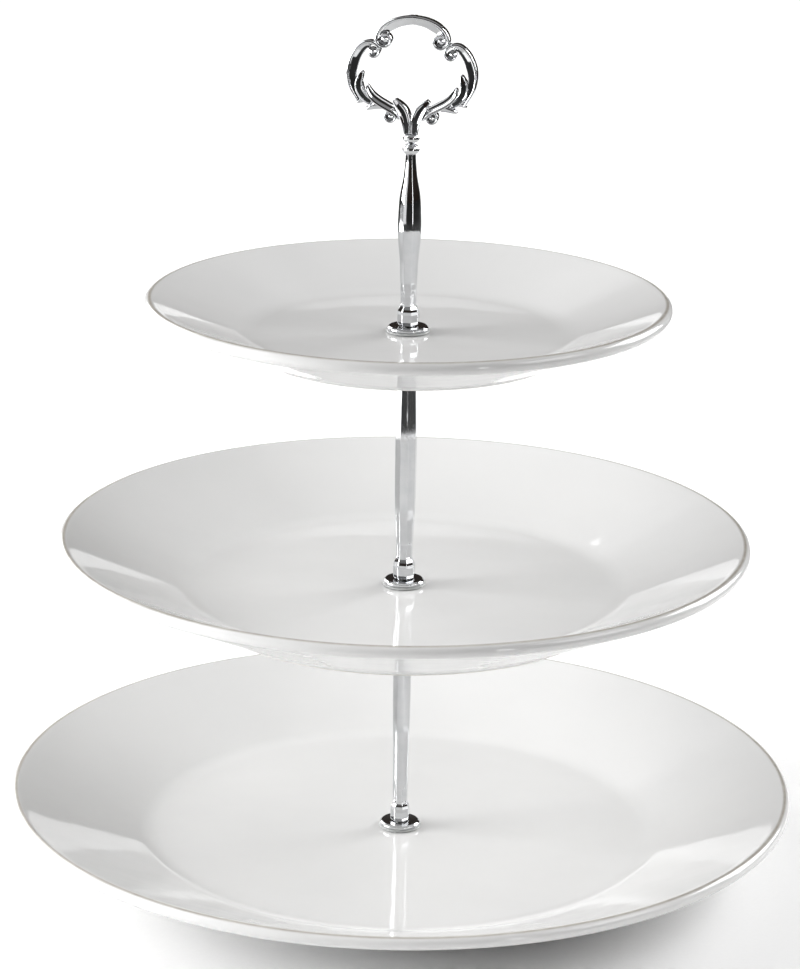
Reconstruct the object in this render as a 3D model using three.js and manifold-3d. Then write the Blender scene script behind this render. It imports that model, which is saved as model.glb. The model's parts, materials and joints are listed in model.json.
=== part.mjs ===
// A three-tier cake stand: porcelain plates on a chrome column that screws together through them,
// with an open scrollwork ring on top as the handle.
// Millimetres, +Z up along the column, origin on the floor under the middle of the bottom plate.
import * as THREE from "three";
import { mergeVertices } from "three/addons/utils/BufferGeometryUtils.js";
import Module from "manifold-3d";

// ---- Driving dimensions ----

const TIER_PITCH = 99; // from one disc washer to the next
const SEAT_GAP = 0.3; // between pieces that rest on each other

// Plates: rim radius, radius of the flat well, height from the well up to the lip, wall under the
// well, radius of the foot ring and its height.
const BOTTOM_PLATE = { rim: 150, well: 97, rise: 20.8, wall: 5, foot: 90, footHeight: 5.2 };
const MIDDLE_PLATE = { rim: 130.5, well: 82.5, rise: 21.3, wall: 4.6, foot: 77, footHeight: 3.6 };
const TOP_PLATE = { rim: 97.8, well: 60.5, rise: 13.8, wall: 4.2, foot: 54, footHeight: 3 };
const LIP_RADIUS = 2.35;
const PLATE_HOLE_RADIUS = 4;
const WELL_FACE_START = 14; // the well's serving face starts outside the washers
const WELL_BLEND = 9; // length of the soft bend between the well and the sloping rim
const FOOT_WIDTH = 5;
const FOOT_FLAT = 2.4; // width of the ground ring that the plate stands on
const FOOT_TAPER = 1.2; // how far the foot's outer side leans in
const PLATE_SEGMENTS = 48;
const ARC_STEPS = 4; // steps in each curve of a plate's outline

// Screw threads, as plain cylinders of the thread's outer diameter.
const THREAD_RADIUS = 2;
const THREAD_CLEARANCE = 0.3;
const THREAD_ENGAGEMENT = 6;
const STUD_SOCKET_DEPTH = 6; // how deep a stud is set into its own rod
const HOLE_RUNOUT = 1; // free depth past the end of a thread
const ROUND_SEGMENTS = 24;

// Washers and gaskets.
const DISC_RADIUS = 7.7;
const DISC_THICKNESS = 1.3;
const DISC_EDGE = 0.8; // height of the disc's upright edge, below its sloping shoulder
const DISC_TOP_RADIUS = 7;
const GASKET_RADIUS = 8.1;
const GASKET_THICKNESS = 0.7;
const SUPPORT_RADIUS = 7.6;
const SUPPORT_THICKNESS = 1.2;
const BASE_WASHER_RADIUS = 11;
const BASE_WASHER_THICKNESS = 0.8;
const BASE_GASKET_RADIUS = 12;

// Base screw: a low dome with a straight slot.
const SCREW_HEAD_RADIUS = 6;
const SCREW_DOME_RADIUS = 3.6; // flat middle of the dome
const SCREW_HEAD_HEIGHT = 1.8;
const SCREW_HEAD_EDGE = 0.7;
const SCREW_SLOT_WIDTH = 1.2;
const SCREW_SLOT_DEPTH = 0.9;

// Column: faceted rods. Collars and shafts are lists of [height above the disc, width over corners].
const FACETS = 8;
const LOWER_ROD_SHAPE = [
  [0, 6.7], [0.8, 7.1], [4.4, 7.1], [7, 6.6], [7.3, 5.5],
  [19, 5.9], [33, 6.3], [43, 6.8], [58, 7.1],
];
const MIDDLE_ROD_SHAPE = [
  [0, 6.9], [1.6, 8.1], [5.6, 8.1], [7.7, 7.2], [8, 5.8], [13.8, 5.8], [14.4, 6.2],
  [22, 7.4], [32, 8.1], [48, 8.3], [60, 8.4], [73, 7.8],
];
const ROD_END_WIDTH = 7.2; // width over corners where a rod meets the washer above it
const HANDLE_SHAPE = [
  [0, 7.1], [1.2, 8.3], [5, 8.3], [7, 7.4], [7.3, 5.8], [12, 5.8], [12.6, 6.1],
  [16, 6.3], [24, 7.1], [32, 8.6], [37.5, 9.1], [42, 8.8], [48.2, 8], [56, 5.2], [65.5, 3.8],
];

// Beads between the pole and the ring: centre above the disc, radius, half height.
const BEAD_STEPS = 6; // steps from a bead's bottom to its top
const BEADS = [
  { height: 66.6, radius: 3.2, half: 2 },
  { height: 70.3, radius: 3.15, half: 1.9 },
];

// Ring: strokes in its own plane, as [across, up, width], measured from its base on the column's
// axis. Every stroke but the top arc has a mirror image.
const RING_BASE = 72.8; // above the disc
const RING_DEPTH = 4.4;
const SCROLL_WEB_DEPTH = 2.2;
const TOP_ARC = [
  [0, 41, 3.3], [4.9, 40.3, 3.3], [8.8, 38.3, 3.1], [11.5, 35.5, 2.7],
];
const ARC_END_SCROLL = { centre: [10, 33.8], radius: 2.3, width: 1.3 };
const RING_STROKES = [
  // side lobe, from the arc's end round to the outer barb
  [[12.5, 31.9, 1.8], [16.6, 31.7, 2.6], [19.6, 28.8, 3.4], [21.4, 24.8, 3.7], [21.9, 20.4, 3.5],
    [21.1, 16.2, 2.9], [20, 13.2, 1.9], [19.3, 11.2, 1]],
  // inner leaf
  [[18.3, 21.4, 0.9], [18.5, 18.6, 1.9], [19, 15.6, 2.3], [17.8, 12.6, 2.5], [14.6, 9.9, 2.4]],
  // long leaf and stem, running in to the column
  [[16.4, 16.5, 0.9], [15, 13.8, 2.2], [12.3, 11.1, 3], [9, 9.1, 3.1], [5.6, 7.2, 2.8],
    [3.4, 4.4, 2.4]],
  // lower barb
  [[16.2, 8.2, 0.9], [14, 8.9, 2], [11.4, 9.3, 2.4]],
  // central leaf
  [[6.4, 11.2, 1.4], [4.2, 9.4, 3], [2.4, 6, 3.4], [1.5, 2.4, 2.8], [1.2, -1.2, 2.4]],
];
const SMALL_SCROLL = { centre: [14.4, 28.9], radius: 2, width: 1.1 };
const LOW_SCROLL = { centre: [7.3, 5.3], radius: 1.9, width: 1 };
const STROKE_STEPS = 3; // outline points per stretch of a stroke
const SCROLL_STEPS = 7; // steps in half a scroll's circle

// ---- Materials ----

const PORCELAIN = { color: 0xf3f3f1, roughness: 0.1, metalness: 0 };
const CHROME = { color: 0xd9dcdf, roughness: 0.08, metalness: 1 };
const STEEL = { color: 0xb4b7ba, roughness: 0.35, metalness: 1 };
const GASKET_PLASTIC = { color: 0xe9ecea, roughness: 0.45, metalness: 0 };

// ---- Heights worked out from the dimensions above ----

const PLATE_TO_DISC_TOP = 2 * SEAT_GAP + GASKET_THICKNESS + DISC_THICKNESS;
const UNDER_PLATE_STACK = 3 * SEAT_GAP + GASKET_THICKNESS + SUPPORT_THICKNESS;
const BOTTOM_WELL_Z = BOTTOM_PLATE.footHeight + BOTTOM_PLATE.wall;
const TIERS = [BOTTOM_PLATE, MIDDLE_PLATE, TOP_PLATE].map((plate, i) => {
  const wellZ = BOTTOM_WELL_Z + i * TIER_PITCH;
  return {
    plate,
    wellZ,
    discTopZ: wellZ + PLATE_TO_DISC_TOP,
    undersideZ: wellZ - plate.wall,
    rodTopZ: wellZ - plate.wall - UNDER_PLATE_STACK,
  };
});
const [BOTTOM_TIER, MIDDLE_TIER, TOP_TIER] = TIERS;
const HOLE_RADIUS = THREAD_RADIUS + THREAD_CLEARANCE;

// ---- Joining and cutting ----

const wasm = await Module();
wasm.setup();

function toSolid(geometry) {
  const plain = geometry.clone();
  plain.deleteAttribute("normal");
  plain.deleteAttribute("uv");
  const merged = mergeVertices(plain, 1e-4);
  return new wasm.Manifold(new wasm.Mesh({
    numProp: 3,
    vertProperties: new Float32Array(merged.attributes.position.array),
    triVerts: new Uint32Array(merged.index.array),
  }));
}

function toGeometry(solid) {
  const mesh = solid.getMesh();
  const geometry = new THREE.BufferGeometry();
  geometry.setAttribute("position", new THREE.BufferAttribute(mesh.vertProperties, 3));
  geometry.setIndex(new THREE.BufferAttribute(mesh.triVerts, 1));
  geometry.computeVertexNormals();
  return geometry;
}

const joined = (geometries) => geometries.map(toSolid).reduce((a, b) => a.add(b));

// ---- Shape helpers ----

// Turns a closed outline of (radius, height) round the Z axis.
function turned(points, segments = ROUND_SEGMENTS) {
  const outline = points.map(([r, z]) => new THREE.Vector2(r, z));
  return new THREE.LatheGeometry(outline, segments).rotateX(Math.PI / 2);
}

// A flat ring from one height to another.
function ringGeometry(inner, outer, bottom, top) {
  return turned([[inner, bottom], [outer, bottom], [outer, top], [inner, top], [inner, bottom]]);
}

function rodGeometry(radius, bottom, top) {
  return turned([[0, bottom], [radius, bottom], [radius, top], [0, top]]);
}

// A faceted rod from a list of [height, width over corners], with a flat facing the front.
function facetedGeometry(shape, baseZ) {
  const halfFacet = Math.PI / FACETS;
  const points = shape.map(([z, width]) => [width / 2, baseZ + z]);
  const closed = [[0, points[0][1]], ...points, [0, points.at(-1)[1]]];
  return turned(closed, FACETS).rotateZ(halfFacet);
}

function addMesh(group, name, geometry, look) {
  const mesh = new THREE.Mesh(geometry, new THREE.MeshStandardMaterial(look));
  mesh.name = name;
  group.add(mesh);
}

// ---- Plates ----

// Angle of the sloping rim: its top line starts at the well's edge and touches the lip's circle.
function rimAngle({ rim, well, rise }) {
  const across = rim - LIP_RADIUS - well;
  const up = rise - LIP_RADIUS;
  return Math.atan2(up, across) + Math.asin(LIP_RADIUS / Math.hypot(across, up));
}

function plateGeometry({ plate, wellZ }) {
  const { rim, well, rise, wall, foot, footHeight } = plate;
  const angle = rimAngle(plate);
  const lip = [rim - LIP_RADIUS, rise - LIP_RADIUS];
  const half = WELL_BLEND / 2;
  const bendEnd = [well + half * Math.cos(angle), half * Math.sin(angle)];
  const footOuter = foot + FOOT_WIDTH / 2;
  const footBottom = -wall - footHeight;
  const ground = [foot - FOOT_FLAT / 2, foot + FOOT_FLAT / 2];
  const lipLow = [lip[0] + LIP_RADIUS * Math.sin(angle), lip[1] - LIP_RADIUS * Math.cos(angle)];
  const footTopZ = lipLow[1] - (lipLow[0] - footOuter) * Math.tan(angle);

  const outline = new THREE.Path();
  outline.moveTo(PLATE_HOLE_RADIUS, 0);
  outline.lineTo(WELL_FACE_START, 0);
  outline.lineTo(well - half, 0);
  outline.quadraticCurveTo(well, 0, bendEnd[0], bendEnd[1]);
  outline.absarc(lip[0], lip[1], LIP_RADIUS, angle + Math.PI / 2, angle - Math.PI / 2, true);
  outline.lineTo(footOuter, footTopZ);
  outline.lineTo(footOuter - FOOT_TAPER, footBottom + FOOT_TAPER);
  outline.lineTo(ground[1], footBottom);
  outline.lineTo(ground[0], footBottom);
  outline.lineTo(foot - FOOT_WIDTH / 2, footBottom + FOOT_TAPER);
  outline.lineTo(foot - FOOT_WIDTH, -wall);
  outline.lineTo(PLATE_HOLE_RADIUS, -wall);
  outline.lineTo(PLATE_HOLE_RADIUS, 0);

  const points = outline.getPoints(ARC_STEPS).map((p) => [p.x, p.y + wellZ]).reverse();
  return turned(points, PLATE_SEGMENTS);
}

// ---- Washers and gaskets ----

function gasketGeometry(bottomZ, radius = GASKET_RADIUS) {
  return ringGeometry(HOLE_RADIUS, radius, bottomZ, bottomZ + GASKET_THICKNESS);
}

function discGeometry(topZ) {
  const bottomZ = topZ - DISC_THICKNESS;
  return turned([
    [HOLE_RADIUS, bottomZ],
    [DISC_RADIUS, bottomZ],
    [DISC_RADIUS, bottomZ + DISC_EDGE],
    [DISC_TOP_RADIUS, topZ],
    [HOLE_RADIUS, topZ],
    [HOLE_RADIUS, bottomZ],
  ]);
}

// ---- Column ----

function blindHole(openZ, endZ) {
  return toSolid(rodGeometry(HOLE_RADIUS, openZ, endZ));
}

// A rod that stands on a disc, with a threaded hole in its top and a socket in its foot.
function rodSolid(shape, footTier, headTier, socketDepth) {
  const footZ = footTier.discTopZ + SEAT_GAP;
  const length = headTier.rodTopZ - footZ;
  const below = shape.filter(([z]) => z < length);
  const body = toSolid(facetedGeometry([...below, [length, ROD_END_WIDTH]], footZ));
  const topHole = blindHole(headTier.rodTopZ - THREAD_ENGAGEMENT - HOLE_RUNOUT, headTier.rodTopZ + 1);
  const footHole = blindHole(footZ - 1, footZ + socketDepth);
  return body.subtract(topHole).subtract(footHole);
}

// A stud set into the piece above a tier, reaching down into the rod below it.
function studGeometry(tier) {
  const top = tier.discTopZ + SEAT_GAP + STUD_SOCKET_DEPTH;
  return rodGeometry(THREAD_RADIUS, tier.rodTopZ - THREAD_ENGAGEMENT, top);
}

// ---- Base screw ----

function baseScrewSolid() {
  const headTop = BOTTOM_TIER.undersideZ - GASKET_THICKNESS - BASE_WASHER_THICKNESS - 3 * SEAT_GAP;
  const headBottom = headTop - SCREW_HEAD_HEIGHT;
  const head = turned([
    [0, headBottom],
    [SCREW_DOME_RADIUS, headBottom],
    [SCREW_HEAD_RADIUS, headTop - SCREW_HEAD_EDGE],
    [SCREW_HEAD_RADIUS, headTop],
    [0, headTop],
  ]);
  const tipZ = BOTTOM_TIER.discTopZ + SEAT_GAP + THREAD_ENGAGEMENT;
  const shank = rodGeometry(THREAD_RADIUS, headTop - SEAT_GAP, tipZ);
  const slot = new THREE.BoxGeometry(3 * SCREW_HEAD_RADIUS, SCREW_SLOT_WIDTH, 2 * SCREW_SLOT_DEPTH);
  slot.translate(0, 0, headBottom);
  return joined([head, shank]).subtract(toSolid(slot));
}

// ---- Crown handle ----

// The closed outline of a stroke: its centre line runs smoothly through the points, and its width
// changes smoothly between them.
function strokeShape(points) {
  const line = new THREE.CatmullRomCurve3(points.map(([x, z, width]) => new THREE.Vector3(x, z, width)));
  const steps = STROKE_STEPS * (points.length - 1);
  const left = [];
  const right = [];
  for (let i = 0; i <= steps; i++) {
    const at = line.getPoint(i / steps);
    const along = line.getTangent(i / steps);
    const side = new THREE.Vector2(-along.y, along.x).normalize().multiplyScalar(at.z / 2);
    left.push(new THREE.Vector2(at.x + side.x, at.y + side.y));
    right.unshift(new THREE.Vector2(at.x - side.x, at.y - side.y));
  }
  return new THREE.Shape([...left, ...right]);
}

// Stands a flat shape up in the XZ plane, centred on the column's axis from front to back.
function plateOf(shape, depth, baseZ) {
  const options = { depth, bevelEnabled: false, curveSegments: SCROLL_STEPS };
  const geometry = new THREE.ExtrudeGeometry(shape, options);
  return geometry.translate(0, 0, -depth / 2).rotateX(Math.PI / 2).translate(0, 0, baseZ);
}

const mirrored = (points) => points.map(([x, z, width]) => [-x, z, width]);

// A rolled-up end: a round band with a thinner web inside it.
function scrollGeometries({ centre, radius, width }, side, baseZ) {
  const band = new THREE.Shape();
  band.absarc(side * centre[0], centre[1], radius + width / 2, 0, 2 * Math.PI);
  const web = new THREE.Shape();
  web.absarc(side * centre[0], centre[1], radius, 0, 2 * Math.PI);
  const hole = new THREE.Path();
  hole.absarc(side * centre[0], centre[1], radius - width / 2, 0, 2 * Math.PI, true);
  band.holes.push(hole);
  return [plateOf(band, RING_DEPTH, baseZ), plateOf(web, SCROLL_WEB_DEPTH, baseZ)];
}

function ringGeometries(baseZ) {
  const arc = [...mirrored(TOP_ARC.slice(1)).reverse(), ...TOP_ARC];
  const strokes = [arc, ...RING_STROKES, ...RING_STROKES.map(mirrored)];
  const bands = strokes.map((points) => plateOf(strokeShape(points), RING_DEPTH, baseZ));
  const scrolls = [ARC_END_SCROLL, SMALL_SCROLL, LOW_SCROLL].flatMap((scroll) => [
    ...scrollGeometries(scroll, 1, baseZ),
    ...scrollGeometries(scroll, -1, baseZ),
  ]);
  return [...bands, ...scrolls];
}

function beadGeometry({ height, radius, half }, baseZ) {
  const points = [];
  for (let i = 0; i <= BEAD_STEPS; i++) {
    const angle = -Math.PI / 2 + (i * Math.PI) / BEAD_STEPS;
    const r = i % BEAD_STEPS ? radius * Math.cos(angle) : 0; // exactly on the axis at both ends
    points.push([r, baseZ + height + half * Math.sin(angle)]);
  }
  return turned(points);
}

function crownHandleSolid() {
  const discTop = TOP_TIER.discTopZ;
  const footZ = discTop + SEAT_GAP;
  const pole = facetedGeometry(HANDLE_SHAPE, footZ);
  const beads = BEADS.map((bead) => beadGeometry(bead, discTop));
  const body = joined([pole, ...beads, ...ringGeometries(discTop + RING_BASE)]);
  return body.subtract(blindHole(footZ - 1, footZ + STUD_SOCKET_DEPTH + SEAT_GAP));
}

// ---- Assembly ----

const stand = new THREE.Group();
const NAMES = ["bottom", "middle", "top"];

TIERS.forEach((tier, i) => {
  const name = NAMES[i];
  const gasketZ = tier.wellZ + SEAT_GAP;
  addMesh(stand, `${name}_plate`, plateGeometry(tier), PORCELAIN);
  addMesh(stand, `${name}_gasket`, gasketGeometry(gasketZ), GASKET_PLASTIC);
  addMesh(stand, `${name}_disc`, discGeometry(tier.discTopZ), CHROME);
  if (tier === BOTTOM_TIER) return;
  const supportZ = tier.rodTopZ + SEAT_GAP;
  const supportTopZ = supportZ + SUPPORT_THICKNESS;
  const support = ringGeometry(HOLE_RADIUS, SUPPORT_RADIUS, supportZ, supportTopZ);
  addMesh(stand, `${name}_support_washer`, support, STEEL);
  addMesh(stand, `${name}_support_gasket`, gasketGeometry(supportTopZ + SEAT_GAP), GASKET_PLASTIC);
});

const baseGasketZ = BOTTOM_TIER.undersideZ - SEAT_GAP - GASKET_THICKNESS;
const baseWasherTopZ = baseGasketZ - SEAT_GAP;
const baseWasherZ = baseWasherTopZ - BASE_WASHER_THICKNESS;
const baseWasher = ringGeometry(HOLE_RADIUS, BASE_WASHER_RADIUS, baseWasherZ, baseWasherTopZ);
addMesh(stand, "base_gasket", gasketGeometry(baseGasketZ, BASE_GASKET_RADIUS), GASKET_PLASTIC);
addMesh(stand, "base_washer", baseWasher, STEEL);
addMesh(stand, "base_screw", toGeometry(baseScrewSolid()), STEEL);

const baseSocket = THREAD_ENGAGEMENT + HOLE_RUNOUT;
const lowerRod = rodSolid(LOWER_ROD_SHAPE, BOTTOM_TIER, MIDDLE_TIER, baseSocket);
const middleSocket = STUD_SOCKET_DEPTH + SEAT_GAP;
const middleRod = rodSolid(MIDDLE_ROD_SHAPE, MIDDLE_TIER, TOP_TIER, middleSocket);
addMesh(stand, "lower_rod", toGeometry(lowerRod), CHROME);
addMesh(stand, "middle_rod", toGeometry(middleRod), CHROME);
addMesh(stand, "middle_stud", studGeometry(MIDDLE_TIER), STEEL);
addMesh(stand, "handle_stud", studGeometry(TOP_TIER), STEEL);
addMesh(stand, "crown_handle", toGeometry(crownHandleSolid()), CHROME);

export default stand;
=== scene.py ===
# A three-tier cake stand: glazed porcelain plates on a chrome column, with a scrollwork ring on top.
import json
import math

import bpy
import numpy as np
from mathutils import Matrix, Vector


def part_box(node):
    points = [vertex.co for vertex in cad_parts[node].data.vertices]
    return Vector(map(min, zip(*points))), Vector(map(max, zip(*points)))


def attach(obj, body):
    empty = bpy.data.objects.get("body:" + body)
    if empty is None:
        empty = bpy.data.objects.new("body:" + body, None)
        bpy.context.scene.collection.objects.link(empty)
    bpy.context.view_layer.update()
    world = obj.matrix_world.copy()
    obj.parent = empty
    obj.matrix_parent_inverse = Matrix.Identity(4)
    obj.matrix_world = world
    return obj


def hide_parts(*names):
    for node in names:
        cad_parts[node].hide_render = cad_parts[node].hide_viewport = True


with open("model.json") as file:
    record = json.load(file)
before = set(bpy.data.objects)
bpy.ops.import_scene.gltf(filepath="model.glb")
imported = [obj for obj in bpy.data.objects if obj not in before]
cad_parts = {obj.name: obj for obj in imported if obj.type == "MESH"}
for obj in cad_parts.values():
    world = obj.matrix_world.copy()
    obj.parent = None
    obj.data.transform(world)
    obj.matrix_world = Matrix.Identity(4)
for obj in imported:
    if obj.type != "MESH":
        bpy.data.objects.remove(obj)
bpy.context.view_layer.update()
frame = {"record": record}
MM = 0.001

# ---- Camera: placed round the stand, then tilted down and rolled a little ----
# Angles are in degrees. The distance and height are in metres, the lens and sensor in millimetres.

CAMERA_AZIMUTH = 9.5
CAMERA_DISTANCE = 1.1904
CAMERA_HEIGHT = 0.5132
CAMERA_PITCH = 17.018
CAMERA_YAW = -0.098
CAMERA_ROLL = 0.93
CAMERA_LENS = 122.75
SENSOR_SIZE = 36
CAMERA_CLIP = (0.01, 50)

# ---- Plates, in millimetres: radii from the column's axis, heights from the well's surface ----

PLATES = {
    "bottom": {"well": 97, "wall": 5, "foot": 90, "foot_height": 5.2},
    "middle": {"well": 82.5, "wall": 4.6, "foot": 77, "foot_height": 3.6},
    "top": {"well": 60.5, "wall": 4.2, "foot": 54, "foot_height": 3},
}
LIP_RADIUS = 2.35
WELL_BLEND = 9
HOLE_RADIUS = 4
PLATE_AROUND = 288
LIP_STEPS = 20
RIM_WARP = 0.16  # how far a fired rim strays up and down
PAINTED_RIM_SHADE_ANGLE = 82  # where the painted line of shade and dark reflection runs, in degrees up round the lip from its outermost point
PAINTED_RIM_SHADE_REACH = 22
GROUND_FOOT = 0.55  # height of the unglazed ground ring

# Points along the bend out of the well, the slope above it and the slope underneath.
BLEND_STEPS = 12
SLOPE_STEPS = 22
UNDERSIDE_STEPS = 18

# ---- Column ----

FACETS = 8
AROUND_FACET = 16
CORNER_CUT = 0.984  # where a facet's sharp corner is rounded off, as a share of the corner radius
CORNER_SHARPNESS = 260
BULGE = 0.03  # how far a facet swells past flat, as a share of the corner radius
SCOOP = 0.02  # how far the middle rod's facets are hollowed instead
THREAD_PITCH = 0.7
THREAD_DEPTH = 0.4
THREAD_MAJOR = 2.0
BORE_RADIUS = 2.3
THREAD_RINGS = 8  # rings in each turn of an outside thread
BORE_RINGS = 6  # rings in each turn of an inside thread
THREAD_RUNOUT = 0.7  # length over which a thread's ends are tapered
THREAD_CHAMFER = 0.55
THREAD_CLEARANCE = 0.02  # between a stud's crests and the inside thread round them
BORE_TIP = 0.6

# Points round a turned piece, and how far its edges are rounded.
RING_AROUND = 128
STUD_AROUND = 48
SCREW_AROUND = 96
GASKET_ROUNDING = 0.2
DISC_ROUNDING = 0.12

COLUMN_STEPS = 150
ROD_END_WIDTH = 7.2
ROD_TOP_HOLE = 7
LOWER_ROD_SOCKET = 7
MIDDLE_ROD_SOCKET = 6.3
HANDLE_SOCKET = 6.3

# The sunk facets, from their lower to their upper end above the foot of the piece.
POCKET_DEPTH = 0.34
LOWER_ROD_POCKETS = (7.4, 14.2)
MIDDLE_ROD_POCKETS = (8.1, 14.6)
HANDLE_POCKETS = (7.6, 13.2)

# How an outline is split: the collar is kept straight, and long stretches above it are curved.
SHAPE_STEP = 0.5
LONG_STRETCH = 2.5  # stretches longer than this are curved, if they lie above the collar
COLLAR_TOP = 12
SHAFT_START = 14.5  # a stretch that begins below this leaves the collar in a straight line

# Each is a list of (height above the foot, width over corners).
LOWER_ROD = [
    (0, 6.9), (0.35, 7.3), (1.2, 7.6), (3.6, 7.7), (5.0, 7.5), (6.0, 7.0), (6.6, 6.4), (7.0, 5.9),
    (12.6, 5.9), (13.4, 6.0), (19, 6.1), (33, 6.35), (43, 6.8), (58, 7.1), (75, 7.15),
]
MIDDLE_ROD = [
    (0, 7.5), (0.5, 8.2), (1.6, 8.6), (4.4, 8.7), (5.6, 8.4), (6.6, 7.8), (7.3, 7.0), (7.8, 6.4),
    (13.4, 6.5), (14.2, 6.7), (22, 7.4), (32, 8.1), (48, 8.3), (60, 8.4), (73, 7.8),
]
HANDLE = [
    (0, 7.2), (0.5, 7.9), (1.4, 8.4), (4.2, 8.5), (5.3, 8.2), (6.2, 7.6), (6.9, 6.7), (7.3, 6.1),
    (11.9, 6.1), (12.8, 6.2), (16, 6.4), (24, 7.1), (32, 8.6), (37.5, 9.1), (42, 8.8), (48.2, 8),
    (56, 5.2), (61, 4.2), (65.5, 3.8),
]
HANDLE_BEADS = [(66.0, 3.2, 2.2), (70.15, 3.15, 2.05)]  # centre, radius, half height
POLE_TOP = (1.6, 72.4)  # radius, height
POLE_RINGS_UNDER_BEADS = 4  # the pole's last rings, which the lower bead takes the place of


# ---- Mesh helpers: a piece is worked out in millimetres, and its mesh is made in metres ----

def make_piece(name, points, faces, look, body, nodes, crease=32):
    mesh = bpy.data.meshes.new(name)
    mesh.from_pydata([tuple(p) for p in np.asarray(points) * MM], [], faces)
    mesh.update()
    mesh.polygons.foreach_set("use_smooth", [True] * len(mesh.polygons))
    mesh.set_sharp_from_angle(angle=math.radians(crease))
    piece = bpy.data.objects.new(name, mesh)
    bpy.context.scene.collection.objects.link(piece)
    for material in look if isinstance(look, (list, tuple)) else [look]:
        mesh.materials.append(material)
    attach(piece, body)
    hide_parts(*nodes)
    return piece


def skin(rings, around, closed):
    """Quads between rows of points. A closed skin joins its last ring to its first."""
    faces = []
    rows = rings if closed else rings - 1
    for i in range(rows):
        a, b = i * around, (i + 1) % rings * around
        for j in range(around):
            k = (j + 1) % around
            faces.append((a + j, a + k, b + k, b + j))
    return faces


def capped(rings):
    """Points and faces of stacked rings, closed by a fan of triangles at each end."""
    rings = np.asarray(rings)
    count, around, _ = rings.shape
    points = rings.reshape(-1, 3)
    first, last = len(points), len(points) + 1
    points = np.vstack([points, rings[0].mean(0), rings[-1].mean(0)])
    faces = skin(count, around, False)
    top = (count - 1) * around
    for j in range(around):
        k = (j + 1) % around
        faces.append((first, k, j))
        faces.append((last, top + j, top + k))
    return points, faces


def outward(points, faces):
    """The faces of a closed solid, turned round if they would face inwards."""
    triangles = np.array([(f[0], f[i], f[i + 1]) for f in faces for i in range(1, len(f) - 1)])
    a, b, c = (points[triangles[:, i]] for i in range(3))
    volume = (a * np.cross(b, c)).sum()
    return faces if volume > 0 else [face[::-1] for face in faces]


def circle(radius, z, around):
    angles = np.arange(around) * 2 * math.pi / around
    radius = np.broadcast_to(radius, around)
    return np.stack([radius * np.cos(angles), radius * np.sin(angles), np.broadcast_to(z, around)], 1)


def rounded(outline, radius):
    """A closed outline of (r, z) points with each corner rounded."""
    steps = 5
    result = []
    count = len(outline)
    for i in range(count):
        before, here, after = (Vector(outline[(i + k) % count]) for k in (-1, 0, 1))
        into, out = here - before, after - here
        reach = min(radius, into.length * 0.45, out.length * 0.45)
        start, end = here - into.normalized() * reach, here + out.normalized() * reach
        for s in range(steps + 1):
            t = s / steps
            result.append(tuple((1 - t) ** 2 * start + 2 * t * (1 - t) * here + t * t * end))
    return result


def turned(outline, around):
    """A closed outline of (r, z) turned round the column's axis."""
    rings = [circle(r, z, around) for r, z in outline]
    return np.vstack(rings), skin(len(rings), around, True)


def smooth_step(x):
    x = np.clip(x, 0, 1)
    return x * x * (3 - 2 * x)


# ---- Plates ----

def plate_outline(rim, rise, size):
    """A plate's cut outline, from the hole's upper edge outwards over the lip and back underneath."""
    well, wall, foot = size["well"], size["wall"], size["foot"]
    across, up = rim - LIP_RADIUS - well, rise - LIP_RADIUS
    slope = math.atan2(up, across) + math.asin(LIP_RADIUS / math.hypot(across, up))
    half = WELL_BLEND / 2
    line = [(HOLE_RADIUS, -0.7), (HOLE_RADIUS + 0.15, -0.3), (HOLE_RADIUS + 0.7, 0)]
    line += [(r, 0) for r in np.linspace(HOLE_RADIUS + 2, well - half, 26)]
    for t in np.linspace(0, 1, BLEND_STEPS)[1:]:
        line.append((well + half * math.cos(slope) * t * t - half * (1 - t) ** 2,
                     half * math.sin(slope) * t * t))
    lip = (rim - LIP_RADIUS, rise - LIP_RADIUS)
    start = line[-1]
    tangent = (lip[0] - LIP_RADIUS * math.sin(slope), lip[1] + LIP_RADIUS * math.cos(slope))
    for t in np.linspace(0, 1, SLOPE_STEPS)[1:-1]:
        line.append((start[0] + (tangent[0] - start[0]) * t, start[1] + (tangent[1] - start[1]) * t))
    for angle in np.linspace(slope + math.pi / 2, slope - math.pi / 2, LIP_STEPS):
        line.append((lip[0] + LIP_RADIUS * math.cos(angle), lip[1] + LIP_RADIUS * math.sin(angle)))
    low = line[-1]
    foot_bottom = -wall - size["foot_height"]
    foot_outer = foot + 2.5
    join = (foot_outer + 2.0, low[1] - (low[0] - foot_outer - 2.0) * math.tan(slope))
    for t in np.linspace(0, 1, UNDERSIDE_STEPS)[1:]:
        line.append((low[0] + (join[0] - low[0]) * t, low[1] + (join[1] - low[1]) * t))
    foot_line = [
        join, (foot_outer, join[1] - 1.6), (foot_outer - 0.9, foot_bottom + 1.4),
        (foot + 1.2, foot_bottom), (foot - 1.2, foot_bottom), (foot - 2.5, foot_bottom + 1.3),
        (foot - 4.2, -wall - 0.8), (foot - 8, -wall),
    ]
    for i in range(1, len(foot_line) - 1):
        before, here, after = (Vector(foot_line[i + k]) for k in (-1, 0, 1))
        for t in (0, 0.25, 0.5, 0.75, 1):
            start, end = before.lerp(here, 0.62), here.lerp(after, 0.38)
            line.append(tuple((1 - t) ** 2 * start + 2 * t * (1 - t) * here + t * t * end))
    line += [(r, -wall) for r in np.linspace(foot - 8, HOLE_RADIUS + 0.6, 20)]
    line += [(HOLE_RADIUS + 0.1, -wall + 0.2), (HOLE_RADIUS, -wall + 0.7)]
    return line


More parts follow.
